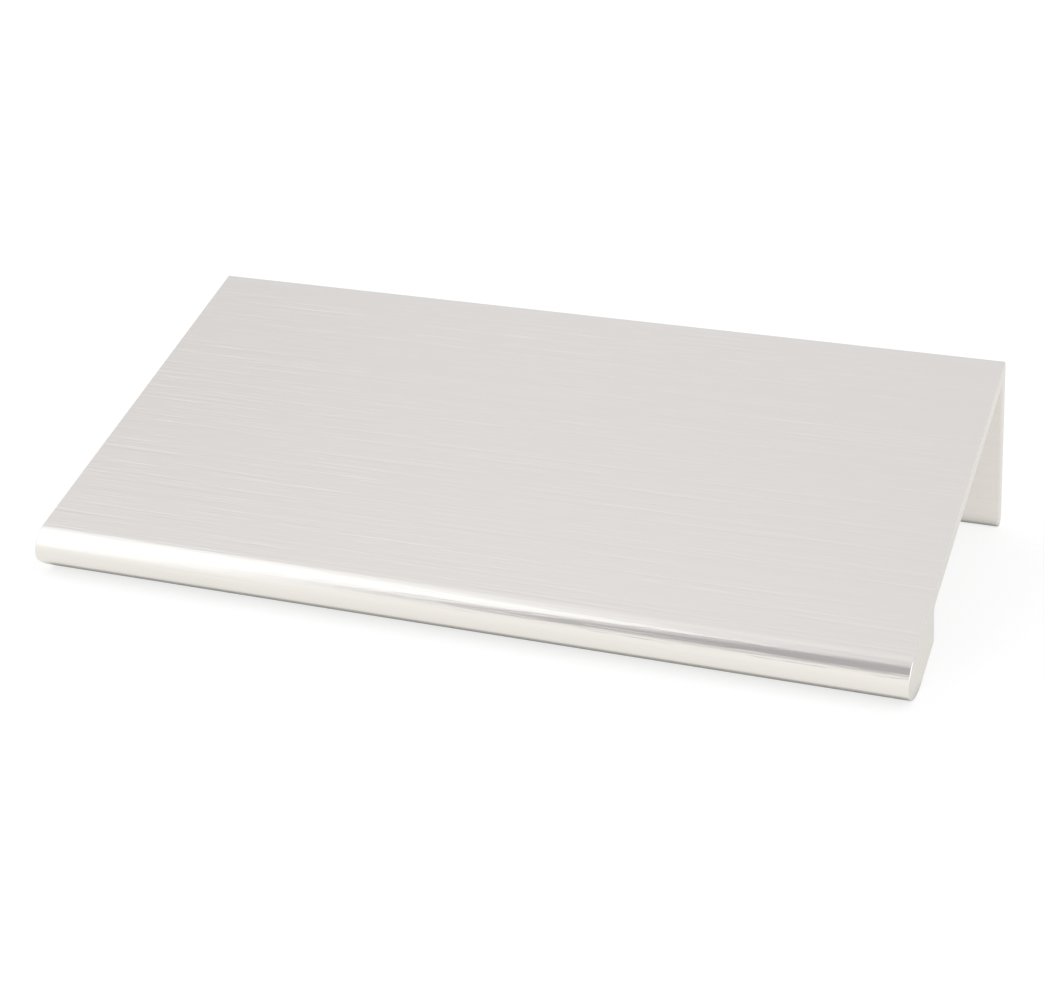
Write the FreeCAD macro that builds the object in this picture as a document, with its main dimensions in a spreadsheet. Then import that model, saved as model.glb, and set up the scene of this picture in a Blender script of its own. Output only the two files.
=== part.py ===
import FreeCAD, Part
import math
import os
from enum import IntEnum

import Sketcher

# Finger pull profile: a cut length of extruded aluminium that is screwed over the edge of a door or
# drawer front. A flat plate covers the edge, a leg square to it goes down the back of the door, and a
# thick rounded lip stands out in front, so that fingers reach up behind it and pull.
#
# The section is drawn in the profile's own axes: +X along the length, Y = 0 on the leg's rear face with
# the lip towards -Y, and Z = 0 on the plate's top face. The finished bar is then tipped about X until it
# stands on the leg's foot and on the lip's nose, as it lies by itself on a level floor.

NODE = "pull_profile"

# Driving dimensions in millimetres, except the one angle: name, value, meaning.
SIZES = [
    ("length", "80", "cut length of the bar"),
    ("depth", "43.2", "from the leg's rear face to the front of the nose"),
    ("plate_thickness", "1.6", "wall of the flat plate"),
    ("leg_height", "19.3", "from the plate's top face to the leg's foot"),
    ("leg_thickness", "1.6", "wall of the leg, rounded off at its foot"),
    ("lip_height", "5.4", "from the plate's top face to the lip's underside"),
    ("lip_depth", "10.2", "from the front of the nose to the lip's rear face"),
    ("nose_drop", "1.9", "from the plate's top face down to the front-most line of the nose"),
    ("nose_top_radius", "2.5", "where the plate's top face rolls over into the nose"),
    ("nose_front_radius", "1.2", "tightest rounding, at the front of the nose"),
    ("nose_bottom_radius", "5.8", "long sweep from the front of the nose to the lip's underside"),
    ("lip_corner_radius", "0.4", "lower rear corner of the lip"),
    ("inner_fillet", "0.35", "extruded fillets under the plate, at the leg and at the lip"),
    ("back_edge_radius", "0.3", "broken edge between the plate and the leg's rear face"),
    ("end_break", "0.12", "broken edge round both sawn ends"),
    ("hole_spacing", "64", "between the two screw holes, along the bar"),
    ("hole_drop", "10.5", "from the plate's top face down to the screw holes"),
    ("hole_diameter", "3.8", "clearance hole for a 3.5 mm countersunk screw"),
    ("countersink_diameter", "6.4", "mouth of the countersink in the leg's rear face"),
    ("countersink_angle", "90", "included angle of the countersink, in degrees"),
    ("drill_overrun", "1", "how far the drill runs on past the leg's inner face"),
]


class Spot(IntEnum):
    """Which point of a sketch element a constraint takes."""

    START = 1
    END = 2
    CENTRE = 3


class Axis(IntEnum):
    """The two axes that every sketch has."""

    HORIZONTAL = -1
    VERTICAL = -2


ORIGIN = (Axis.HORIZONTAL, Spot.START)


def add_sheet(doc):
    """The spreadsheet of driving dimensions, one row each: name, value, meaning."""
    sheet = doc.addObject("Spreadsheet::Sheet", "sizes")
    for row, (name, value, meaning) in enumerate(SIZES, start=1):
        sheet.set(f"A{row}", name)
        sheet.set(f"B{row}", value)
        sheet.setAlias(f"B{row}", name)
        sheet.set(f"C{row}", meaning)
    doc.recompute()
    return sheet


def add_pose(doc):
    """How the bar lies: the tilt that brings foot and nose to one level, and the shift that centres it."""
    pose = doc.addObject("App::VarSet", "pose")
    rules = [
        ("foot_radius", "sizes.leg_thickness / 2"),
        ("foot_back", "-pose.foot_radius"),
        ("foot_up", "pose.foot_radius - sizes.leg_height"),
        ("front_back", "sizes.nose_front_radius - sizes.depth"),
        ("sweep_up", "sizes.nose_bottom_radius - sizes.lip_height"),
        (
            "sweep_back",
            "pose.front_back + sqrt((sizes.nose_bottom_radius - sizes.nose_front_radius)^2"
            " - (pose.sweep_up + sizes.nose_drop)^2)",
        ),
        ("reach", "sqrt((pose.foot_back - pose.sweep_back)^2 + (pose.foot_up - pose.sweep_up)^2)"),
        (
            "tilt",
            "atan2(pose.sweep_up - pose.foot_up; pose.foot_back - pose.sweep_back)"
            " + asin((pose.foot_radius - sizes.nose_bottom_radius) / pose.reach)",
        ),
        (
            "front_most",
            "pose.front_back * cos(pose.tilt) + sizes.nose_drop * sin(pose.tilt)"
            " - sizes.nose_front_radius",
        ),
        (
            "rear_most",
            "pose.foot_back * cos(pose.tilt) - pose.foot_up * sin(pose.tilt) + pose.foot_radius",
        ),
        ("shift_back", "-(pose.front_most + pose.rear_most) / 2"),
        (
            "lift",
            "pose.foot_radius - pose.foot_back * sin(pose.tilt) - pose.foot_up * cos(pose.tilt)",
        ),
    ]
    for name, rule in rules:
        kind = "App::PropertyAngle" if name == "tilt" else "App::PropertyFloat"
        pose.addProperty(kind, name)
        pose.setExpression(name, rule)
    doc.recompute()


def add_sketch(body, name, role):
    """An empty sketch on one of the body's own origin planes."""
    plane = next(plane for plane in body.Origin.OriginFeatures if plane.Role == role)
    sketch = body.newObject("Sketcher::SketchObject", name)
    sketch.AttachmentSupport = [(plane, "")]
    sketch.MapMode = "FlatFace"
    return sketch


def drive(sketch, rule, *constraint):
    """A dimension of the sketch that follows the spreadsheet by its rule."""
    index = sketch.addConstraint(Sketcher.Constraint(*constraint))
    sketch.setExpression(f"Constraints[{index}]", rule)


def add_arc(sketch, centre, radius, first_angle, last_angle):
    """An arc that runs counterclockwise between two angles in degrees."""
    circle = Part.Circle(centre, FreeCAD.Vector(0, 0, 1), radius)
    arc = Part.ArcOfCircle(circle, math.radians(first_angle), math.radians(last_angle))
    return sketch.addGeometry(arc)


def add_straight(sketch, from_arc, from_spot, to_arc, to_spot, direction):
    """The straight run that leaves one arc and enters the next, tangent to both."""
    start = sketch.getPoint(from_arc, from_spot)
    end = sketch.getPoint(to_arc, to_spot)
    line = sketch.addGeometry(Part.LineSegment(start, end))
    sketch.addConstraint(Sketcher.Constraint(direction, line))
    sketch.addConstraint(Sketcher.Constraint("Tangent", line, Spot.START, from_arc, from_spot))
    sketch.addConstraint(Sketcher.Constraint("Tangent", line, Spot.END, to_arc, to_spot))
    return line


def add_nose(sketch, size):
    """The nose: a tight front arc between two larger ones that roll into the top face and the underside."""
    front_radius = size["nose_front_radius"]
    front_centre = FreeCAD.Vector(front_radius - size["depth"], -size["nose_drop"], 0)

    def larger_arc(radius, up):
        """Centre of a larger arc at this height that touches the front arc, and the angle where they meet."""
        across = math.sqrt((radius - front_radius) ** 2 - (up - front_centre.y) ** 2)
        centre = FreeCAD.Vector(front_centre.x + across, up, 0)
        meeting = front_centre - centre
        return centre, math.degrees(math.atan2(meeting.y, meeting.x)) % 360

    top_radius = size["nose_top_radius"]
    bottom_radius = size["nose_bottom_radius"]
    top_centre, top_meeting = larger_arc(top_radius, -top_radius)
    bottom_centre, bottom_meeting = larger_arc(bottom_radius, bottom_radius - size["lip_height"])
    top = add_arc(sketch, top_centre, top_radius, 90, top_meeting)
    front = add_arc(sketch, front_centre, front_radius, top_meeting, bottom_meeting)
    bottom = add_arc(sketch, bottom_centre, bottom_radius, bottom_meeting, 270)
    sketch.addConstraint(Sketcher.Constraint("Tangent", top, Spot.END, front, Spot.START))
    sketch.addConstraint(Sketcher.Constraint("Tangent", front, Spot.END, bottom, Spot.START))
    return top, front, bottom


def add_section(body, sheet):
    """The extruded section: plate, leg and lip in one closed outline of lines and tangent arcs."""
    sketch = add_sketch(body, "section", "YZ_Plane")
    size = {name: float(sheet.get(name)) for name, value, meaning in SIZES}
    leg_inside = -size["leg_thickness"]
    plate_under = -size["plate_thickness"]
    lip_rear = size["lip_depth"] - size["depth"]
    lip_under = -size["lip_height"]
    foot_radius = size["leg_thickness"] / 2
    foot_centre = FreeCAD.Vector(-foot_radius, foot_radius - size["leg_height"], 0)

    def corner(across, up, way_across, way_up, name, first_angle):
        """The quarter arc that rounds a square corner; its centre lies one radius off both faces."""
        radius = size[name]
        centre = FreeCAD.Vector(across + way_across * radius, up + way_up * radius, 0)
        return add_arc(sketch, centre, radius, first_angle, first_angle + 90)

    back_edge = corner(0, 0, -1, -1, "back_edge_radius", 0)
    leg_foot = add_arc(sketch, foot_centre, foot_radius, 180, 360)
    leg_root = corner(leg_inside, plate_under, -1, -1, "inner_fillet", 0)
    lip_root = corner(lip_rear, plate_under, 1, -1, "inner_fillet", 90)
    lip_corner = corner(lip_rear, lip_under, -1, 1, "lip_corner_radius", 270)
    nose_top, nose_front, nose_bottom = add_nose(sketch, size)

    top_face = add_straight(sketch, nose_top, Spot.START, back_edge, Spot.END, "Horizontal")
    rear_face = add_straight(sketch, back_edge, Spot.START, leg_foot, Spot.END, "Vertical")
    leg_inner_face = add_straight(sketch, leg_foot, Spot.START, leg_root, Spot.START, "Vertical")
    plate_under_face = add_straight(sketch, leg_root, Spot.END, lip_root, Spot.START, "Horizontal")
    lip_rear_face = add_straight(sketch, lip_root, Spot.END, lip_corner, Spot.END, "Vertical")
    lip_under_face = add_straight(sketch, lip_corner, Spot.START, nose_bottom, Spot.END, "Horizontal")

    for line, axis in [(top_face, Axis.HORIZONTAL), (rear_face, Axis.VERTICAL)]:
        sketch.addConstraint(Sketcher.Constraint("PointOnObject", line, Spot.START, axis))
    across = [
        ("sizes.depth - sizes.nose_front_radius", nose_front, Spot.CENTRE),
        ("sizes.depth - sizes.lip_depth", lip_rear_face, Spot.START),
        ("sizes.leg_thickness", leg_inner_face, Spot.START),
    ]
    for rule, element, spot in across:
        drive(sketch, rule, "DistanceX", element, spot, *ORIGIN, -sketch.getPoint(element, spot).x)
    down = [
        ("sizes.nose_drop", nose_front, Spot.CENTRE),
        ("sizes.plate_thickness", plate_under_face, Spot.START),
        ("sizes.lip_height", lip_under_face, Spot.START),
        ("sizes.leg_height - sizes.leg_thickness / 2", leg_foot, Spot.CENTRE),
    ]
    for rule, element, spot in down:
        drive(sketch, rule, "DistanceY", element, spot, *ORIGIN, -sketch.getPoint(element, spot).y)
    rounded = [
        (back_edge, "back_edge_radius"),
        (leg_root, "inner_fillet"),
        (lip_root, "inner_fillet"),
        (lip_corner, "lip_corner_radius"),
        (nose_top, "nose_top_radius"),
        (nose_front, "nose_front_radius"),
        (nose_bottom, "nose_bottom_radius"),
    ]
    for arc, name in rounded:
        drive(sketch, f"sizes.{name}", "Radius", arc, size[name])
    return sketch


def extrude(doc, body, section):
    """The bar: the section pushed out along the length, half to each side of its middle."""
    bar = body.newObject("PartDesign::Pad", "bar")
    bar.Profile = section
    bar.SideType = "Symmetric"
    bar.setExpression("Length", "sizes.length")
    doc.recompute()
    return bar


def break_ends(doc, body, bar):
    """The sawn ends have their sharp edges taken off all round."""
    box = bar.Shape.BoundBox
    end_faces = [
        f"Face{number}"
        for number, face in enumerate(bar.Shape.Faces, start=1)
        if any(math.isclose(face.CenterOfMass.x, end, rel_tol=1e-6) for end in (box.XMin, box.XMax))
    ]
    ends = body.newObject("PartDesign::Chamfer", "broken_ends")
    ends.Base = (bar, end_faces)
    ends.setExpression("Size", "sizes.end_break")
    doc.recompute()
    return ends


def drill(doc, body, sheet):
    """Two countersunk screw holes through the leg, drilled from its rear face, one near each end."""
    sketch = add_sketch(body, "hole_centres", "XZ_Plane")
    spacing = float(sheet.get("hole_spacing"))
    drop = float(sheet.get("hole_drop"))
    diameter = float(sheet.get("hole_diameter"))
    normal = FreeCAD.Vector(0, 0, 1)
    left, right = [
        sketch.addGeometry(Part.Circle(FreeCAD.Vector(across, -drop, 0), normal, diameter / 2))
        for across in (-spacing / 2, spacing / 2)
    ]
    mirrored = ("Symmetric", left, Spot.CENTRE, right, Spot.CENTRE, Axis.VERTICAL)
    sketch.addConstraint(Sketcher.Constraint(*mirrored))
    sketch.addConstraint(Sketcher.Constraint("Equal", left, right))
    drive(sketch, "sizes.hole_spacing", "DistanceX", left, Spot.CENTRE, right, Spot.CENTRE, spacing)
    drive(sketch, "sizes.hole_drop", "DistanceY", right, Spot.CENTRE, *ORIGIN, drop)
    drive(sketch, "sizes.hole_diameter", "Diameter", right, diameter)
    doc.recompute()

    holes = body.newObject("PartDesign::Hole", "screw_holes")
    holes.Profile = sketch
    holes.DepthType = "Dimension"
    holes.DrillPoint = "Flat"
    holes.HoleCutType = "Countersink"
    holes.HoleCutCustomValues = True
    holes.Reversed = True
    holes.setExpression("Diameter", "sizes.hole_diameter")
    holes.setExpression("Depth", "sizes.leg_thickness + sizes.drill_overrun")
    holes.setExpression("HoleCutDiameter", "sizes.countersink_diameter")
    holes.setExpression("HoleCutCountersinkAngle", "sizes.countersink_angle")
    doc.recompute()
    return holes


def lay_down(doc, body):
    """Tips the finished bar about its length until it rests on foot and nose, centred over the origin."""
    body.Placement.Rotation.Axis = FreeCAD.Vector(1, 0, 0)
    body.setExpression("Placement.Rotation.Angle", "pose.tilt")
    body.setExpression("Placement.Base.y", "pose.shift_back")
    body.setExpression("Placement.Base.z", "pose.lift")
    doc.recompute()


def check(doc, body, steps):
    """Stops if a feature failed, the solid isn't sound, or a step that should cut took nothing away."""
    for item in doc.Objects:
        if "Invalid" in item.State or "Error" in item.State:
            raise RuntimeError(f"{item.Name} failed: {item.State}")
    if body.Shape.isNull() or not body.Shape.isValid() or len(body.Shape.Solids) != 1:
        raise RuntimeError(f"{body.Label} is not one sound solid")
    for before, after in zip(steps, steps[1:]):
        if not after.Shape.Volume < before.Shape.Volume:
            raise RuntimeError(f"{after.Name} cut nothing")


def main():
    doc = FreeCAD.newDocument("finger_pull")
    sheet = add_sheet(doc)
    add_pose(doc)
    body = doc.addObject("PartDesign::Body", NODE)
    body.Label = NODE
    section = add_section(body, sheet)
    bar = extrude(doc, body, section)
    ends = break_ends(doc, body, bar)
    holes = drill(doc, body, sheet)
    lay_down(doc, body)
    check(doc, body, [bar, ends, holes])

    os.makedirs("parts", exist_ok=True)
    body.Shape.exportStep(f"parts/{body.Label}.step")
    box = body.Shape.BoundBox
    tilt = math.degrees(body.Placement.Rotation.Angle)
    print(f"{body.Label}: {box.XLength:.2f} x {box.YLength:.2f} x {box.ZLength:.2f} mm")
    print(f"volume {body.Shape.Volume:.1f} mm3, tilted {tilt:.2f} degrees")
    print(f"section fully constrained: {section.FullyConstrained}")


main()
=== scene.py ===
# %% [markdown]
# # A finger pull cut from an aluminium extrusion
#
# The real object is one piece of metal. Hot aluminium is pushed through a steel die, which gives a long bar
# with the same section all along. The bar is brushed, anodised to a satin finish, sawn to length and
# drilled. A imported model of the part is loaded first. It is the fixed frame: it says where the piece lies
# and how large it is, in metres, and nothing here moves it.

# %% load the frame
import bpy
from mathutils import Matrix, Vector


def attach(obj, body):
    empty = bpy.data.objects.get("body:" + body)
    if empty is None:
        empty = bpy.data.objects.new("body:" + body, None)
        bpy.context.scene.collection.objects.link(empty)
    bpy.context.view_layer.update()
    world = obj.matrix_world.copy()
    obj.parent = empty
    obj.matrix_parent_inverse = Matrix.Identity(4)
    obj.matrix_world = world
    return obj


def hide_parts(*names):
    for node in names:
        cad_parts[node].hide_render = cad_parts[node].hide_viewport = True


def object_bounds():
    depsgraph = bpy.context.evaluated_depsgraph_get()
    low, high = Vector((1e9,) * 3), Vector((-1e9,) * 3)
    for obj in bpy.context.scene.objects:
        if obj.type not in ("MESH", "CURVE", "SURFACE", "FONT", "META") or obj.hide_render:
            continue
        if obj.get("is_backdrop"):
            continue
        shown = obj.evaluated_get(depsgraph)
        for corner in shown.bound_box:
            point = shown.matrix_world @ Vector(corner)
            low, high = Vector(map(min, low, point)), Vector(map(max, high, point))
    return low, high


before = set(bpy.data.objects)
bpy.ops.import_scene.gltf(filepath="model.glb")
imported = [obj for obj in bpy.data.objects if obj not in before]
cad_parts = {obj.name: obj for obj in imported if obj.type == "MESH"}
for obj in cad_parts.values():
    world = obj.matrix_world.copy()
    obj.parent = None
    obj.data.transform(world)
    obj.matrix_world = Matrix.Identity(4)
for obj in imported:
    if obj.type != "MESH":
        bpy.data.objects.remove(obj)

# %% measure the frame
import math

import bpy
from mathutils import Matrix

MM = 0.001
CAD_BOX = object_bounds()
print("frame box in mm:", [[round(v / MM, 2) for v in corner] for corner in CAD_BOX])

# %% [markdown]
# ## The sizes of the section
#
# A die maker's drawing needs few numbers: walls, heights and radii. The section is drawn in the bar's own
# axes, with Y = 0 on the leg's rear face, the lip towards -Y, and Z = 0 on the plate's top face. The length
# comes from the frame. The other sizes are written here as real sizes, because the frame only holds facets.

# %% sizes of the section, in metres
LENGTH = CAD_BOX[1].x - CAD_BOX[0].x
SIZES = {
    "Length": LENGTH,
    "Depth": 43.2 * MM,
    "Plate thickness": 1.6 * MM,
    "Leg height": 19.3 * MM,
    "Leg thickness": 1.6 * MM,
    "Lip height": 5.4 * MM,
    "Lip depth": 10.2 * MM,
    "Nose drop": 1.9 * MM,
    "Nose top radius": 2.5 * MM,
    "Nose front radius": 1.2 * MM,
    "Nose bottom radius": 5.8 * MM,
    "Lip corner radius": 0.4 * MM,
    "Inner fillet": 0.35 * MM,
    "Back edge radius": 0.3 * MM,
    "Hole spacing": 64.0 * MM,
    "Hole drop": 10.5 * MM,
    "Hole diameter": 3.8 * MM,
    "Countersink diameter": 6.4 * MM,
}
END_BREAK = 0.12 * MM
print(f"{len(SIZES)} sizes, bar {LENGTH / MM:.1f} mm long")

# %% [markdown]
# ## Writing node trees as formulas
#
# Geometry and shader trees both do sums with Math nodes. Placing each one by hand hides the rule behind many
# lines, so a small class lets a socket be used in ordinary arithmetic: `depth - lip` adds a Subtract node
# and gives back its result. The trees stay ordinary node trees that can be opened and read in Blender.

# %% helpers that add nodes
class Formula:
    """A number that a node tree works out; arithmetic on it adds Math nodes."""

    def __init__(self, tree, socket):
        self.tree = tree
        self.socket = socket

    def __add__(self, other):
        return calc(self.tree, "ADD", self, other)

    def __sub__(self, other):
        return calc(self.tree, "SUBTRACT", self, other)

    def __rsub__(self, other):
        return calc(self.tree, "SUBTRACT", other, self)

    def __mul__(self, other):
        return calc(self.tree, "MULTIPLY", self, other)

    def __truediv__(self, other):
        return calc(self.tree, "DIVIDE", self, other)

    def __neg__(self):
        return calc(self.tree, "MULTIPLY", self, -1.0)

    def __lt__(self, other):
        return calc(self.tree, "LESS_THAN", self, other)

    def __gt__(self, other):
        return calc(self.tree, "GREATER_THAN", self, other)


def plug(tree, value, socket):
    """Feeds a socket: a link where the value comes from a node, and otherwise a plain setting."""
    source = value.socket if isinstance(value, Formula) else value
    if isinstance(source, bpy.types.NodeSocket):
        tree.links.new(source, socket)
    else:
        socket.default_value = source


def add_node(tree, kind, inputs=None, **settings):
    """One node. Its settings come first, because they decide which sockets it has."""
    node = tree.nodes.new(kind)
    for name, value in settings.items():
        setattr(node, name, value)
    for name, value in (inputs or {}).items():
        plug(tree, value, node.inputs[name])
    return node


def calc(tree, operation, *values):
    """One Math node, and its result as a formula."""
    node = add_node(tree, "ShaderNodeMath", operation=operation)
    for value, socket in zip(values, node.inputs):
        plug(tree, value, socket)
    return Formula(tree, node.outputs["Value"])


def vector(tree, x=0.0, y=0.0, z=0.0):
    """Three numbers or formulas as one vector socket."""
    return add_node(tree, "ShaderNodeCombineXYZ", {"X": x, "Y": y, "Z": z}).outputs["Vector"]


def split(tree, socket):
    """The X, Y and Z of a vector socket, as formulas."""
    parts = add_node(tree, "ShaderNodeSeparateXYZ", {"Vector": socket})
    return [Formula(tree, parts.outputs[axis]) for axis in "XYZ"]


def rise(tree, value, none, full):
    """Zero at one value, one at another, with a smooth change between them."""
    inputs = {"Value": value, "From Min": none, "From Max": full, "To Min": 0.0, "To Max": 1.0}
    node = add_node(tree, "ShaderNodeMapRange", inputs, interpolation_type="SMOOTHSTEP")
    return Formula(tree, node.outputs["Result"])


print("node helpers ready")

# %% [markdown]
# ## How the bar lies
#
# Unheld on a floor, the bar rests on two round edges: the leg's foot and the sweep under the nose. The tilt
# is the slope of the line that touches both circles from below. The same rule gives the frame its pose, so
# the new mesh can be checked against the frame's box instead of being fitted to it by eye.

# %% tilt and place of the resting bar
def resting_pose(size):
    """Tilt about X in radians, then the shift along Y and Z that puts the bar down, centred."""
    foot_radius = size["Leg thickness"] / 2
    foot = (-foot_radius, foot_radius - size["Leg height"])
    front = (size["Nose front radius"] - size["Depth"], -size["Nose drop"])
    sweep_radius = size["Nose bottom radius"]
    sweep_up = sweep_radius - size["Lip height"]
    apart = sweep_radius - size["Nose front radius"]
    sweep = (front[0] + math.sqrt(apart**2 - (sweep_up - front[1]) ** 2), sweep_up)
    reach = math.dist(foot, sweep)
    slope = math.atan2(sweep[1] - foot[1], foot[0] - sweep[0])
    tilt = slope + math.asin((foot_radius - sweep_radius) / reach)
    front_most = front[0] * math.cos(tilt) - front[1] * math.sin(tilt) - size["Nose front radius"]
    rear_most = foot[0] * math.cos(tilt) - foot[1] * math.sin(tilt) + foot_radius
    lift = foot_radius - foot[0] * math.sin(tilt) - foot[1] * math.cos(tilt)
    return tilt, -(front_most + rear_most) / 2, lift


TILT, SHIFT, LIFT = resting_pose(SIZES)
print(f"tilt {math.degrees(TILT):.2f} degrees, shift {SHIFT / MM:.2f} mm, lift {LIFT / MM:.2f} mm")

# %% [markdown]
# ## Brush lines
#
# An abrasive belt leaves fine lines along the bar: thousands of short shallow grooves, and a few longer ones
# from coarse grit. A noise that is stretched along X gives such lines. It reads Object coordinates, so they
# run on over the nose without a seam, and it is a node group, because several finishes use it with their own
# line width and length.

# %% node group: stretched lines
# Half a cell along, which puts the bar in the middle of a long noise cell.
LINE_OFFSET = 0.5


def new_group(name, inputs, outputs):
    """An empty shader node group with named sockets, and its two end nodes."""
    group = bpy.data.node_groups.new(name, "ShaderNodeTree")
    for socket_name, kind, value in inputs:
        socket = group.interface.new_socket(name=socket_name, in_out="INPUT", socket_type=kind)
        if value is not None:
            socket.default_value = value
    for socket_name, kind in outputs:
        group.interface.new_socket(name=socket_name, in_out="OUTPUT", socket_type=kind)
    return group, group.nodes.new("NodeGroupInput"), group.nodes.new("NodeGroupOutput")


def make_line_group():
    """Fine lines along X: a value about 0.5 that changes quickly across and slowly along."""
    number = "NodeSocketFloat"
    group, start, end = new_group(
        "stretched_lines",
        [
            ("Vector", "NodeSocketVector", None),
            ("Line width", number, 0.2 * MM),
            ("Line length", number, 8.0 * MM),
            ("Detail", number, 2.0),
        ],
        [("Lines", number)],
    )
    x, y, z = split(group, start.outputs["Vector"])
    width = Formula(group, start.outputs["Line width"])
    length = Formula(group, start.outputs["Line length"])
    stretched = vector(group, x / length + LINE_OFFSET, y / width, z / width)
    noise = add_node(
        group,
        "ShaderNodeTexNoise",
        {"Vector": stretched, "Scale": 1.0, "Detail": start.outputs["Detail"], "Roughness": 0.55},
        noise_dimensions="3D",
    )
    plug(group, noise.outputs["Fac"], end.inputs["Lines"])
    return group


LINE_GROUP = make_line_group()
print("group", LINE_GROUP.name, "inputs:", [s.name for s in LINE_GROUP.interface.items_tree])

# %% [markdown]
# ## Anodised aluminium
#
# Anodising turns the skin of the metal into clear oxide, which makes bare aluminium a little warmer and
# softer in shine. The metal's colour is one value for every finish on this bar. Where a tool cut deeper, the
# skin looks a touch darker, so a mask moves the colour by a few percent around that value.

# %% node group: aluminium tone
ALUMINIUM = (0.86, 0.832, 0.812)
MIDDLE = 0.5


def make_tone_group():
    """Colour and roughness of anodised aluminium, moved by a mask about its middle value."""
    number = "NodeSocketFloat"
    group, start, end = new_group(
        "anodised_tone",
        [
            ("Mask", number, MIDDLE),
            ("Shade", number, 1.0),
            ("Tone change", number, 0.06),
            ("Roughness", number, 0.28),
            ("Roughness change", number, 0.1),
        ],
        [("Color", "NodeSocketColor"), ("Roughness", number)],
    )
    off_middle = Formula(group, start.outputs["Mask"]) - MIDDLE
    tone_change = Formula(group, start.outputs["Tone change"])
    # Shade scales the whole colour of one finish. On the sawn ends it is their own darker tone; on the
    # channel faces it is painted shade.
    shade = off_middle * tone_change + Formula(group, start.outputs["Shade"])
    scaled = add_node(group, "ShaderNodeVectorMath", {0: ALUMINIUM, "Scale": shade}, operation="SCALE")
    rough = Formula(group, start.outputs["Roughness"])
    change = Formula(group, start.outputs["Roughness change"])
    plug(group, scaled.outputs["Vector"], end.inputs["Color"])
    plug(group, rough - off_middle * change, end.inputs["Roughness"])
    return group


TONE_GROUP = make_tone_group()
print("group", TONE_GROUP.name, "base colour", ALUMINIUM)

# %% [markdown]
# ## The finishes
#
# Each finish is a short material: its own pattern, the shared tone, a bump from the same pattern and one
# Principled shader. On brushed metal the grooves spread a highlight across the lines. That is what
# anisotropy does, along the tangent, so the tangent is the bar's X axis crossed with the surface normal.

# %% helpers for materials
def use_group(tree, group, inputs):
    """A node group placed in a material, with its own values."""
    return add_node(tree, "ShaderNodeGroup", inputs, node_tree=group)


def new_metal(name, anisotropic):
    """A material with one Principled metal shader, and the object's own coordinates."""
    material = bpy.data.materials.new(name)
    material.use_nodes = True
    tree = material.node_tree
    shader = tree.nodes["Principled BSDF"]
    shader.inputs["Metallic"].default_value = 1.0
    shader.inputs["Anisotropic"].default_value = anisotropic
    place = add_node(tree, "ShaderNodeTexCoord").outputs["Object"]
    return material, tree, shader, place


def finish_metal(tree, shader, mask, height, relief, **tone):
    """Tone and bump of a finish: the mask moves the colour, the height (times relief) the normal."""
    # A keyword such as tone_change feeds the group's socket "Tone change".
    inputs = {name.replace("_", " ").capitalize(): value for name, value in tone.items()}
    look = use_group(tree, TONE_GROUP, {"Mask": mask, **inputs})
    bump = add_node(tree, "ShaderNodeBump", {"Height": height, "Strength": 1.0, "Distance": relief})
    plug(tree, look.outputs["Color"], shader.inputs["Base Color"])
    plug(tree, look.outputs["Roughness"], shader.inputs["Roughness"])
    plug(tree, bump.outputs["Normal"], shader.inputs["Normal"])


def across_the_lines(tree):
    """The direction across the brush lines: the bar's X axis crossed with the surface normal."""
    along = add_node(
        tree,
        "ShaderNodeVectorTransform",
        {"Vector": (1.0, 0.0, 0.0)},
        vector_type="VECTOR",
        convert_from="OBJECT",
        convert_to="WORLD",
    )
    normal = add_node(tree, "ShaderNodeNewGeometry").outputs["Normal"]
    pair = {0: along.outputs["Vector"], 1: normal}
    return add_node(tree, "ShaderNodeVectorMath", pair, operation="CROSS_PRODUCT").outputs["Vector"]


def lines(tree, place, width, length, detail=2.0):
    """One set of stretched lines, as a formula."""
    inputs = {"Vector": place, "Line width": width, "Line length": length, "Detail": detail}
    return Formula(tree, use_group(tree, LINE_GROUP, inputs).outputs["Lines"])


print("material helpers ready")

# %% [markdown]
# A noise that is only stretched a little wanders from line to line, and the brushing looks wavy. So the
# grooves come from lines much longer than the bar, which are straight. A second, shorter noise says how hard
# the grit pressed at each place, and so where a groove begins and ends.

# %% brushed satin, on every face that shows
# Width and length of each kind of line.
GROOVE = (0.2 * MM, 300.0 * MM)
STROKE = (0.25 * MM, 3.2 * MM)
BROAD = (1.3 * MM, 40.0 * MM)
SCRATCH = (0.35 * MM, 14.0 * MM)
# Noise values between which the grit begins to press, and presses fully.
STROKE_EDGE = (0.42, 0.68)
# A scratch starts above this noise value, and its edge is rounded off by this much.
SCRATCH_START = 0.6
SCRATCH_ROUNDING = 0.03
# Depth and tone of broad lines and scratches, against one for the fine grooves.
BROAD_DEPTH = 0.25
BROAD_TONE = 0.3
SCRATCH_DEPTH = 1.2
BRUSH_RELIEF = 0.032 * MM


def make_brushed_satin():
    """Straight belt grooves that come and go, broader soft ones, and a few coarse scratches."""
    material, tree, shader, place = new_metal("brushed_satin", anisotropic=0.5)
    straight = lines(tree, place, *GROOVE) - MIDDLE
    pressure = lines(tree, place, *STROKE, detail=1.0)
    fine = straight * rise(tree, pressure, *STROKE_EDGE)
    broad = lines(tree, place, *BROAD, detail=1.0) - MIDDLE
    coarse = lines(tree, place, *SCRATCH, detail=0.0)
    scratch = calc(tree, "SMOOTH_MAX", coarse - SCRATCH_START, 0.0, SCRATCH_ROUNDING)
    height = fine + broad * BROAD_DEPTH - scratch * SCRATCH_DEPTH
    mask = fine + broad * BROAD_TONE + MIDDLE
    finish_metal(tree, shader, mask, height, BRUSH_RELIEF, tone_change=0.05, roughness=0.2)
    plug(tree, across_the_lines(tree), shader.inputs["Tangent"])
    return material


BRUSHED_SATIN = make_brushed_satin()
print("finish", BRUSHED_SATIN.name, "nodes:", len(BRUSHED_SATIN.node_tree.nodes))
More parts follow.
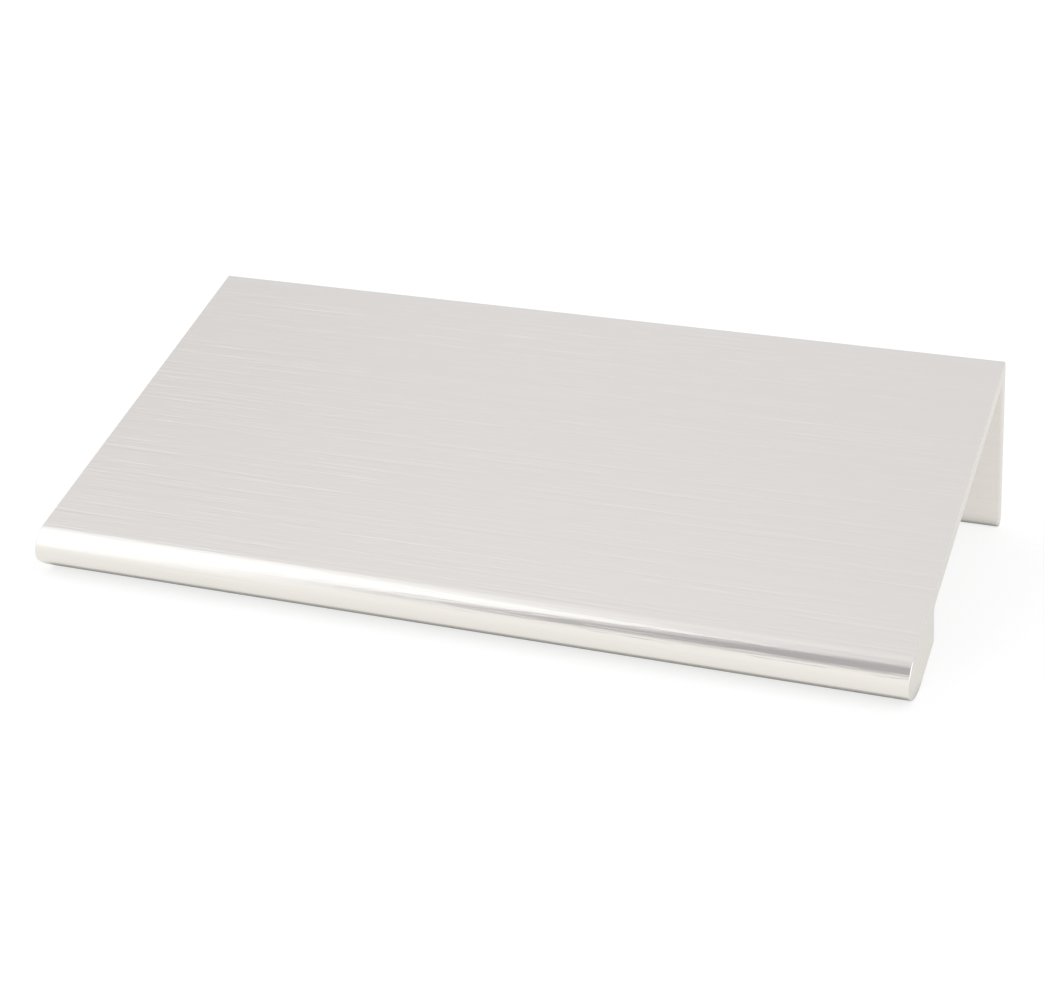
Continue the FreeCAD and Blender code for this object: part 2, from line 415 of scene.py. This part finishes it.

# %% [markdown]
# The belt never reaches the channel under the plate. Those faces keep the mark of the die: soft straight
# lines that run the whole length of the bar, with a duller shine. Their colour is also a little darker: a
# painted shade under the plate.

# %% die drawn finish and painted shade inside the channel
DIE_LINE = (0.3 * MM, 400.0 * MM)
DIE_RELIEF = 0.006 * MM


def make_die_drawn_and_shade():
    """Faint lines as long as the bar and a painted shade, on the faces that the belt can't reach."""
    material, tree, shader, place = new_metal("die_drawn_and_shade", anisotropic=0.3)
    drawn = lines(tree, place, *DIE_LINE)
    # shade=0.97 darkens these faces a little: painted shade under the plate. The lines and the duller shine
    # are the finish's own.
    finish_metal(tree, shader, drawn, drawn, DIE_RELIEF, shade=0.97, tone_change=0.06, roughness=0.34)
    plug(tree, across_the_lines(tree), shader.inputs["Tangent"])
    return material


DIE_DRAWN_AND_SHADE = make_die_drawn_and_shade()
print("finish", DIE_DRAWN_AND_SHADE.name, "nodes:", len(DIE_DRAWN_AND_SHADE.node_tree.nodes))

# %% [markdown]
# Cut faces show the tool that made them. A circular saw leaves shallow arcs about the blade's centre, and a
# countersink leaves rings about the screw's axis. Both are lines at a growing distance from something, so
# both read a one-dimensional noise. A Mapping node of type Texture undoes the bar's tilt first.

# %% sawn ends and turned countersinks
SAW_RADIUS = 125.0 * MM
SAW_PITCH = 0.28 * MM
SAW_RELIEF = 0.01 * MM
TOOL_PITCH = 0.12 * MM
TOOL_RELIEF = 0.006 * MM


def section_place(tree, place):
    """Object coordinates turned back into the section's own axes."""
    inputs = {"Vector": place, "Location": (0.0, SHIFT, LIFT), "Rotation": (TILT, 0.0, 0.0)}
    return add_node(tree, "ShaderNodeMapping", inputs, vector_type="TEXTURE").outputs["Vector"]


def marks(tree, distance, pitch):
    """Tool marks: a noise along one distance."""
    inputs = {"W": distance / pitch, "Scale": 1.0, "Detail": 2.0}
    noise = add_node(tree, "ShaderNodeTexNoise", inputs, noise_dimensions="1D")
    return Formula(tree, noise.outputs["Fac"])


def make_sawn_end():
    """Arcs of a saw blade whose centre is above the plate."""
    material, tree, shader, place = new_metal("sawn_end", anisotropic=0.0)
    _, across, up = split(tree, section_place(tree, place))
    from_blade = calc(tree, "SQRT", across * across + (up - SAW_RADIUS) * (up - SAW_RADIUS))
    arcs = marks(tree, from_blade, SAW_PITCH)
    finish_metal(tree, shader, arcs, arcs, SAW_RELIEF, shade=0.89, tone_change=0.1, roughness=0.33)
    return material


def make_turned_countersink():
    """Rings about the screw's axis, which is the section's Y axis."""
    material, tree, shader, place = new_metal("turned_countersink", anisotropic=0.0)
    _, depth, _ = split(tree, section_place(tree, place))
    rings = marks(tree, depth, TOOL_PITCH)
    finish_metal(tree, shader, rings, rings, TOOL_RELIEF, tone_change=0.1, roughness=0.3)
    return material


SAWN_END = make_sawn_end()
TURNED_COUNTERSINK = make_turned_countersink()
print("finishes", SAWN_END.name, "and", TURNED_COUNTERSINK.name)

# %% [markdown]
# ## The section as a curve
#
# The section could be typed in as a list of points, but then no radius could be changed. Instead a closed
# curve gets nine corners, and Fillet Curve rounds each one with its own radius. The nose is three arcs that
# touch: their tangents at the two joints cut out three corners, and rounding those three corners with the
# three radii gives exactly the three arcs back.

# %% tree inputs and the nose's corners
def new_profile_tree():
    """An empty geometry tree with one named input for each size, and those inputs as formulas."""
    tree = bpy.data.node_groups.new("finger_pull_profile", "GeometryNodeTree")
    tree.interface.new_socket(name="Geometry", in_out="OUTPUT", socket_type="NodeSocketGeometry")
    for name in SIZES:
        tree.interface.new_socket(name=name, in_out="INPUT", socket_type="NodeSocketFloat")
    start = tree.nodes.new("NodeGroupInput")
    return tree, {name: Formula(tree, start.outputs[name]) for name in SIZES}


def nose_corners(tree, size):
    """Top, front and bottom corner of the nose, as (across, up) pairs, from the three radii."""
    front_radius = size["Nose front radius"]
    front_across = front_radius - size["Depth"]
    front_up = -size["Nose drop"]

    def touching_arc(radius, up):
        """Place across of a larger arc that touches the front arc, and the angle where they touch."""
        apart = radius - front_radius
        drop = front_up - up
        across = calc(tree, "SQRT", apart * apart - drop * drop)
        return front_across + across, calc(tree, "ARCTAN2", drop, -across)

    top_radius = size["Nose top radius"]
    bottom_radius = size["Nose bottom radius"]
    top_across, top_angle = touching_arc(top_radius, -top_radius)
    bottom_across, bottom_angle = touching_arc(bottom_radius, bottom_radius - size["Lip height"])
    bottom_angle = bottom_angle + math.tau
    top_run = top_radius * calc(tree, "TANGENT", (top_angle - math.pi / 2) / 2)
    bottom_run = bottom_radius * calc(tree, "TANGENT", (math.pi * 3 / 2 - bottom_angle) / 2)
    middle = (top_angle + bottom_angle) / 2
    out = front_radius / calc(tree, "COSINE", (bottom_angle - top_angle) / 2)
    front_corner = (
        front_across + out * calc(tree, "COSINE", middle),
        front_up + out * calc(tree, "SINE", middle),
    )
    return (top_across - top_run, 0.0), front_corner, (bottom_across - bottom_run, -size["Lip height"])


PROFILE_TREE, SIZE = new_profile_tree()
NOSE_TOP, NOSE_FRONT, NOSE_BOTTOM = nose_corners(PROFILE_TREE, SIZE)
print("tree", PROFILE_TREE.name, "with", len(PROFILE_TREE.nodes), "nodes so far")

# %% the rounded section
# How many steps each rounding is drawn in.
EDGE_STEPS = 8
FOOT_STEPS = 12
SWEEP_STEPS = 24
FRONT_STEPS = 16
TOP_STEPS = 20


def choose_by_index(tree, kind, values):
    """A field that gives each point of the curve its own value."""
    index = add_node(tree, "GeometryNodeInputIndex").outputs["Index"]
    switch = add_node(tree, "GeometryNodeIndexSwitch", {"Index": index}, data_type=kind)
    while len(switch.index_switch_items) < len(values):
        switch.index_switch_items.new()
    for value, socket in zip(values, switch.inputs[1:]):
        plug(tree, value, socket)
    return switch.outputs["Output"]


def section_curve(tree, size):
    """The closed outline: nine corners, from the back edge round to the nose's top, each one filleted."""
    foot_radius = size["Leg thickness"] / 2
    leg_inside = -size["Leg thickness"]
    leg_foot = -size["Leg height"]
    plate_under = -size["Plate thickness"]
    lip_rear = size["Lip depth"] - size["Depth"]
    lip_under = -size["Lip height"]
    inner = size["Inner fillet"]
    corners = [
        ((0.0, 0.0), size["Back edge radius"], EDGE_STEPS),
        ((0.0, leg_foot), foot_radius, FOOT_STEPS),
        ((leg_inside, leg_foot), foot_radius, FOOT_STEPS),
        ((leg_inside, plate_under), inner, EDGE_STEPS),
        ((lip_rear, plate_under), inner, EDGE_STEPS),
        ((lip_rear, lip_under), size["Lip corner radius"], EDGE_STEPS),
        (NOSE_BOTTOM, size["Nose bottom radius"], SWEEP_STEPS),
        (NOSE_FRONT, size["Nose front radius"], FRONT_STEPS),
        (NOSE_TOP, size["Nose top radius"], TOP_STEPS),
    ]
    places = [vector(tree, across, up) for (across, up), _, _ in corners]
    radii = [radius for _, radius, _ in corners]
    counts = [steps for _, _, steps in corners]
    ring = add_node(tree, "GeometryNodeCurvePrimitiveCircle", {"Resolution": len(corners)})
    outline = add_node(
        tree,
        "GeometryNodeSetPosition",
        {"Geometry": ring.outputs["Curve"], "Position": choose_by_index(tree, "VECTOR", places)},
    )
    rounded = add_node(
        tree,
        "GeometryNodeFilletCurve",
        {
            "Curve": outline.outputs["Geometry"],
            "Radius": choose_by_index(tree, "FLOAT", radii),
            "Count": choose_by_index(tree, "INT", counts),
        },
        mode="POLY",
    )
    return rounded.outputs["Curve"]


SECTION = section_curve(PROFILE_TREE, SIZE)
print("section drawn,", len(PROFILE_TREE.nodes), "nodes so far")

# %% [markdown]
# ## Pushing the section along the bar
#
# Extrusion is Curve to Mesh: the section follows a straight line as long as the bar, and Fill Caps closes
# the ends. The line is tilted half a turn, because Blender hangs the section upside down on a line along X.
# Arcs that meet share a point twice, so Merge by Distance joins the doubles. The whole bar is brushed. Faces
# in the channel and at the ends get a number, by which their own finish finds them at the end of the tree.

# %% extrude the bar
MERGE_DISTANCE = 0.001 * MM
DRAWN = 1
SAWN = 2
END_FACING = 0.5


def paint(tree, geometry, material, selection=True):
    """Gives a finish to the selected faces."""
    inputs = {"Geometry": geometry, "Material": material, "Selection": selection}
    return add_node(tree, "GeometryNodeSetMaterial", inputs).outputs["Geometry"]


def extrude(tree, size, section):
    """The brushed bar with closed ends, its faces numbered where they are die drawn or sawn."""
    half = size["Length"] / 2
    ends = {"Start": vector(tree, -half), "End": vector(tree, half)}
    line = add_node(tree, "GeometryNodeCurvePrimitiveLine", ends).outputs["Curve"]
    upright = add_node(tree, "GeometryNodeSetCurveTilt", {"Curve": line, "Tilt": math.pi})
    swept = add_node(
        tree,
        "GeometryNodeCurveToMesh",
        {"Curve": upright.outputs["Curve"], "Profile Curve": section, "Fill Caps": True},
    )
    joined = add_node(
        tree,
        "GeometryNodeMergeByDistance",
        {"Geometry": swept.outputs["Mesh"], "Distance": MERGE_DISTANCE},
    )
    _, across, up = split(tree, add_node(tree, "GeometryNodeInputPosition").outputs["Position"])
    facing = split(tree, add_node(tree, "GeometryNodeInputNormal").outputs["Normal"])[0]
    behind_lip = across > size["Lip depth"] - size["Depth"] - MERGE_DISTANCE
    before_leg = across < MERGE_DISTANCE - size["Leg thickness"]
    under_plate = up < MERGE_DISTANCE - size["Plate thickness"]
    in_channel = behind_lip * before_leg * under_plate
    at_end = calc(tree, "ABSOLUTE", facing) > END_FACING
    made = calc(tree, "MAXIMUM", in_channel * DRAWN, at_end * SAWN)
    numbered = add_node(
        tree,
        "GeometryNodeStoreNamedAttribute",
        {"Geometry": joined.outputs["Geometry"], "Name": "made", "Value": made},
        data_type="INT",
        domain="FACE",
    )
    return paint(tree, numbered.outputs["Geometry"], BRUSHED_SATIN)


BAR = extrude(PROFILE_TREE, SIZE, SECTION)
print("bar extruded,", len(PROFILE_TREE.nodes), "nodes so far")

# %% [markdown]
# ## Screw holes
#
# Two screws go through the leg from behind. A step drill cuts the hole and its countersink at once. It could
# be a cylinder and a cone, but two bits that overlap leave slivers where they cross. So it is one turned
# shape: a line along its axis with a radius at each of three points, swept by a circle. It is placed at both
# holes as instances, realized, and taken away with Mesh Boolean. The faces that it cuts take its finish.

# %% drill the leg
HOLE_COUNT = 2
HOLE_SIDES = 64
OVERRUN = 1.0 * MM


def step_drill(tree, size):
    """A drill with a countersink, along the section's Y axis, with Y = 0 on the leg's rear face."""
    radius = size["Hole diameter"] / 2
    mouth = size["Countersink diameter"] / 2
    stations = [
        (OVERRUN, mouth + OVERRUN),
        (radius - mouth, radius),
        (-size["Leg thickness"] - OVERRUN, radius),
    ]
    places = [vector(tree, 0.0, depth) for depth, _ in stations]
    radii = [reach for _, reach in stations]
    line = add_node(tree, "GeometryNodeCurvePrimitiveLine").outputs["Curve"]
    axis = add_node(tree, "GeometryNodeResampleCurve", {"Curve": line, "Count": len(stations)})
    placed = add_node(
        tree,
        "GeometryNodeSetPosition",
        {"Geometry": axis.outputs["Curve"], "Position": choose_by_index(tree, "VECTOR", places)},
    )
    ring = add_node(tree, "GeometryNodeCurvePrimitiveCircle", {"Resolution": HOLE_SIDES, "Radius": 1.0})
    swept = add_node(
        tree,
        "GeometryNodeCurveToMesh",
        {
            "Curve": placed.outputs["Geometry"],
            "Profile Curve": ring.outputs["Curve"],
            "Scale": choose_by_index(tree, "FLOAT", radii),
            "Fill Caps": True,
        },
    )
    return paint(tree, swept.outputs["Mesh"], TURNED_COUNTERSINK)


def drill(tree, size, bar):
    """The bar with its two countersunk holes, drilled from the leg's rear face."""
    out = size["Hole spacing"] / 2
    ends = {"Start Location": vector(tree, -out, 0.0, -size["Hole drop"]), "Offset": vector(tree, out * 2)}
    points = add_node(tree, "GeometryNodeMeshLine", {"Count": HOLE_COUNT, **ends}).outputs["Mesh"]
    bits = {"Points": points, "Instance": step_drill(tree, size)}
    placed = add_node(tree, "GeometryNodeInstanceOnPoints", bits).outputs["Instances"]
    solid = add_node(tree, "GeometryNodeRealizeInstances", {"Geometry": placed}).outputs["Geometry"]
    pair = {"Mesh 1": bar, "Mesh 2": solid}
    cut = add_node(tree, "GeometryNodeMeshBoolean", pair, operation="DIFFERENCE", solver="EXACT")
    return cut.outputs["Mesh"]


DRILLED = drill(PROFILE_TREE, SIZE, BAR)
print("holes drilled,", len(PROFILE_TREE.nodes), "nodes so far")

# %% [markdown]
# ## Laying the bar down and giving each face its finish
#
# The tree ends by tipping the bar into its resting pose, realizing it, and setting the finish of the faces
# that carry a number.

# %% lay down and finish
NUMBER_TOLERANCE = 0.1


def lay_down(tree, bar):
    """The bar in its resting pose, every face with its finish."""
    pose = {"Geometry": bar, "Rotation": (TILT, 0.0, 0.0), "Translation": (0.0, SHIFT, LIFT)}
    laid = add_node(tree, "GeometryNodeTransform", pose).outputs["Geometry"]
    smooth = add_node(tree, "GeometryNodeSetShadeSmooth", {"Geometry": laid}).outputs["Geometry"]
    solid = add_node(tree, "GeometryNodeRealizeInstances", {"Geometry": smooth}).outputs["Geometry"]
    number = add_node(tree, "GeometryNodeInputNamedAttribute", {"Name": "made"}, data_type="INT")
    for value, material in ((DRAWN, DIE_DRAWN_AND_SHADE), (SAWN, SAWN_END)):
        chosen = calc(tree, "COMPARE", number.outputs["Attribute"], float(value), NUMBER_TOLERANCE)
        solid = paint(tree, solid, material, chosen)
    end = tree.nodes.new("NodeGroupOutput")
    plug(tree, solid, end.inputs["Geometry"])


lay_down(PROFILE_TREE, DRILLED)
print("tree finished with", len(PROFILE_TREE.nodes), "nodes")

# %% [markdown]
# ## From tree to plain mesh
#
# The tree is put on an object as a modifier. Two more modifiers finish it: a small bevel breaks the sharp
# edges at the sawn ends and the holes, as a file does, and weighted normals keep flat faces flat up to that
# bevel. The result becomes a plain mesh, and the modifiers go.

# %% make the piece
NODE = "pull_profile"
BODY = "root"
BREAK_SEGMENTS = 2
SHARP_EDGE = math.radians(30)


def make_profile():
    """The finger pull as one plain mesh."""
    piece = bpy.data.objects.new("finger_pull_profile", bpy.data.meshes.new("finger_pull_profile"))
    bpy.context.scene.collection.objects.link(piece)
    shape = piece.modifiers.new("extruded shape", "NODES")
    shape.node_group = PROFILE_TREE
    for socket in PROFILE_TREE.interface.items_tree:
        if socket.in_out == "INPUT":
            shape[socket.identifier] = SIZES[socket.name]
    edges = piece.modifiers.new("broken edges", "BEVEL")
    edges.width = END_BREAK
    edges.segments = BREAK_SEGMENTS
    edges.limit_method = "ANGLE"
    edges.angle_limit = SHARP_EDGE
    edges.use_clamp_overlap = False
    piece.modifiers.new("flat faces", "WEIGHTED_NORMAL")
    graph = bpy.context.evaluated_depsgraph_get()
    mesh = bpy.data.meshes.new_from_object(piece.evaluated_get(graph), depsgraph=graph)
    mesh.name = "finger_pull_profile"
    piece.modifiers.clear()
    piece.data = mesh
    return piece


PROFILE = make_profile()
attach(PROFILE, BODY)
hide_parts(NODE)
print(PROFILE.name, len(PROFILE.data.polygons), "faces,", [m.name for m in PROFILE.data.materials])

# %% [markdown]
# ## Floor and light
#
# Metal shows what is around it, so the studio is most of the look. The floor is white card that is lit well
# enough to look plain white. A material can tell which ray asks for it, so the card glows for the camera,
# which leaves only a faint shadow. For reflections it glows less, and an Ambient Occlusion node lets that
# glow die in the narrow gap under the bar. So the metal keeps a dark line where the nose comes down.

# %% floor
FLOOR_HALF = 2.0
FLOOR_DROP = 0.02 * MM
CARD_COLOR = (0.33, 0.33, 0.32, 1.0)
CARD_SEEN = (0.3, 0.3, 0.3, 1.0)
GLOW_COLOR = (1.0, 0.995, 0.945, 1.0)
GLOW_SEEN = 0.74
GLOW_REFLECTED = 0.65
NARROW_GAP = 0.95 * MM
OCCLUSION_SAMPLES = 4
WHITE = (1.0, 1.0, 1.0, 1.0)


def ray(tree, kind):
    """One where a ray of this kind asks for the colour, and otherwise zero."""
    return Formula(tree, add_node(tree, "ShaderNodeLightPath").outputs[kind])


def mix(tree, mask, below, above):
    """One colour laid over another where the mask is one."""
    node = add_node(tree, "ShaderNodeMix", data_type="RGBA")
    # The node has several sockets of one name, so they are found by their identifiers.
    sockets = {socket.identifier: socket for socket in node.inputs}
    plug(tree, mask, sockets["Factor_Float"])
    plug(tree, below, sockets["A_Color"])
    plug(tree, above, sockets["B_Color"])
    return next(socket for socket in node.outputs if socket.identifier == "Result_Color")


def make_floor():
    """A wide sheet of white card just under the bar."""
    mesh = bpy.data.meshes.new("floor")
    ways = ((-1, -1), (1, -1), (1, 1), (-1, 1))
    corners = [(x * FLOOR_HALF, y * FLOOR_HALF, -FLOOR_DROP) for x, y in ways]
    mesh.from_pydata(corners, [], [(0, 1, 2, 3)])
    material = bpy.data.materials.new("white_card")
    material.use_nodes = True
    tree = material.node_tree
    shader = tree.nodes["Principled BSDF"]
    shader.inputs["Roughness"].default_value = 1.0
    shader.inputs["Specular IOR Level"].default_value = 0.0
    seen = ray(tree, "Is Camera Ray")
    reflected = calc(tree, "MAXIMUM", ray(tree, "Is Glossy Ray"), ray(tree, "Is Transmission Ray"))
    reach = {"Distance": NARROW_GAP}
    occlusion = add_node(tree, "ShaderNodeAmbientOcclusion", reach, samples=OCCLUSION_SAMPLES)
    openness = Formula(tree, occlusion.outputs["AO"])
    glow = seen * GLOW_SEEN + reflected * GLOW_REFLECTED * openness
    plug(tree, mix(tree, seen, CARD_COLOR, CARD_SEEN), shader.inputs["Base Color"])
    plug(tree, mix(tree, seen, GLOW_COLOR, WHITE), shader.inputs["Emission Color"])
    plug(tree, glow, shader.inputs["Emission Strength"])
    mesh.materials.append(material)
    floor = bpy.data.objects.new("floor", mesh)
    bpy.context.scene.collection.objects.link(floor)
    floor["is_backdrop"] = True
    return floor


FLOOR = make_floor()
print("floor", FLOOR.name, "glows", GLOW_SEEN, "for the camera and", GLOW_REFLECTED, "for reflections")

# %% [markdown]
# The surroundings are a pale tent, drawn in the world by direction: azimuth counts from the front and is
# negative to the left, and elevation counts up from the floor. A large soft panel stands at the left in
# front and gives the white band along the top of the nose. To its right the tent is open, and that gap draws
# the darker band under the white one. Behind on the left, a duller stretch of wall and a brighter patch over
# it tone the plate. The tent is brighter low down all round, and a second panel lights the open end of the
# channel from the right. Each pair of angles says where an edge has faded out, and where it is full.

# %% surroundings
TENT_COLOR = (0.81, 0.805, 0.805, 1.0)
OVERHEAD_COLOR = (0.95, 0.955, 0.945, 1.0)
HORIZON_COLOR = (1.02, 1.02, 0.985, 1.0)
GAP_COLOR = (0.38, 0.37, 0.38, 1.0)
WALL_COLOR = (0.69, 0.69, 0.69, 1.0)
PANEL_COLOR = (1.27, 1.29, 1.29, 1.0)
SIDE_COLOR = (1.5, 1.5, 1.58, 1.0)
GAP_EDGES = {"azimuth": [(-40, -36), (10, -20)], "elevation": [(26, 35), (77, 67)]}
PANEL_EDGES = {"azimuth": [(-25, -29.5), (-138, -78)], "elevation": [(10, 18), (77, 63)]}
SIDE_EDGES = {"azimuth": [(20, 40), (115, 98)], "elevation": [(8, 18), (68, 55)]}
OVERHEAD_PLACE = (-128, 70)
OVERHEAD_EDGE = (20, 2)
WALL_PLACE = (-128, 36)
WALL_EDGE = (21, 6)
HORIZON_EDGE = (32, 24)


def patch(tree, angles, edges):
    """A soft-edged patch of the surroundings, between its edges in azimuth and elevation."""
    mask = 1.0
    for name, pairs in edges.items():
        for faded, full in pairs:
            mask = rise(tree, angles[name], faded, full) * mask
    return mask


def angle_from(tree, direction, azimuth, elevation):
    """Angle in degrees between a direction and a place in the surroundings."""
    turn, up = math.radians(azimuth), math.radians(elevation)
    place = (math.sin(turn) * math.cos(up), -math.cos(turn) * math.cos(up), math.sin(up))
    node = add_node(tree, "ShaderNodeVectorMath", {0: direction, 1: place}, operation="DOT_PRODUCT")
    return calc(tree, "DEGREES", calc(tree, "ARCCOSINE", Formula(tree, node.outputs["Value"])))


def make_tent():
    """The world: layers laid over each other, and plain white where the camera looks straight at it."""
    world = bpy.data.worlds.new("light_tent")
    world.use_nodes = True
    tree = world.node_tree
    direction = add_node(tree, "ShaderNodeTexCoord").outputs["Generated"]
    x, y, z = split(tree, direction)
    angles = {
        "azimuth": calc(tree, "DEGREES", calc(tree, "ARCTAN2", x, -y)),
        "elevation": calc(tree, "DEGREES", calc(tree, "ARCSINE", z)),
    }
    wall = rise(tree, angle_from(tree, direction, *WALL_PLACE), *WALL_EDGE)
    overhead = rise(tree, angle_from(tree, direction, *OVERHEAD_PLACE), *OVERHEAD_EDGE)
    layers = [
        (wall, WALL_COLOR),
        (overhead, OVERHEAD_COLOR),
        (rise(tree, angles["elevation"], *HORIZON_EDGE), HORIZON_COLOR),
        (patch(tree, angles, GAP_EDGES), GAP_COLOR),
        (patch(tree, angles, PANEL_EDGES), PANEL_COLOR),
        (patch(tree, angles, SIDE_EDGES), SIDE_COLOR),
        (ray(tree, "Is Camera Ray"), WHITE),
    ]
    color = TENT_COLOR
    for mask, layer in layers:
        color = mix(tree, mask, color, layer)
    plug(tree, color, tree.nodes["Background"].inputs["Color"])
    bpy.context.scene.world = world
    return world


TENT = make_tent()
print("tent", TENT.name, "nodes:", len(TENT.node_tree.nodes))

# %% [markdown]
# ## Camera
#
# The camera stands in front of the bar, to its right and about twenty degrees up. Its place was fitted to
# the edges of the bar in the picture: a solver moved it, turned it and changed its lens until the edges of
# the section fell as near as they could to the traced ones.

# %% camera
CAMERA_PLACE = (67.952 * MM, -192.769 * MM, 80.989 * MM)
CAMERA_HEADING = math.radians(19.790)
CAMERA_PITCH = math.radians(20.435)
CAMERA_ROLL = math.radians(0.741)
CAMERA_LENS = 80.233
SENSOR_WIDTH = 36.0
NEAREST_SEEN = 0.01


def make_camera():
    """The camera: turned left by its heading, down by its pitch, and rolled a little."""
    data = bpy.data.cameras.new("camera")
    data.sensor_fit = "HORIZONTAL"
    data.sensor_width = SENSOR_WIDTH
    data.lens = CAMERA_LENS
    data.clip_start = NEAREST_SEEN
    camera = bpy.data.objects.new("camera", data)
    turn = Matrix.Rotation(CAMERA_HEADING, 4, "Z")
    look_down = Matrix.Rotation(math.pi / 2 - CAMERA_PITCH, 4, "X")
    roll = Matrix.Rotation(CAMERA_ROLL, 4, "Z")
    camera.matrix_world = Matrix.Translation(CAMERA_PLACE) @ turn @ look_down @ roll
    bpy.context.scene.collection.objects.link(camera)
    bpy.context.scene.camera = camera
    return camera


CAMERA = make_camera()
bpy.context.scene.view_settings.view_transform = "Standard"
print("camera", CAMERA.name, f"with a lens of {CAMERA.data.lens:.1f} mm")

# %% compare the boxes and finish
VISUAL_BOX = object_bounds()
corner_pairs = zip(CAD_BOX, VISUAL_BOX)
difference = max(abs(a - b) for cad, visual in corner_pairs for a, b in zip(cad, visual))
print(f"box differs by at most {difference / MM:.5f} mm")
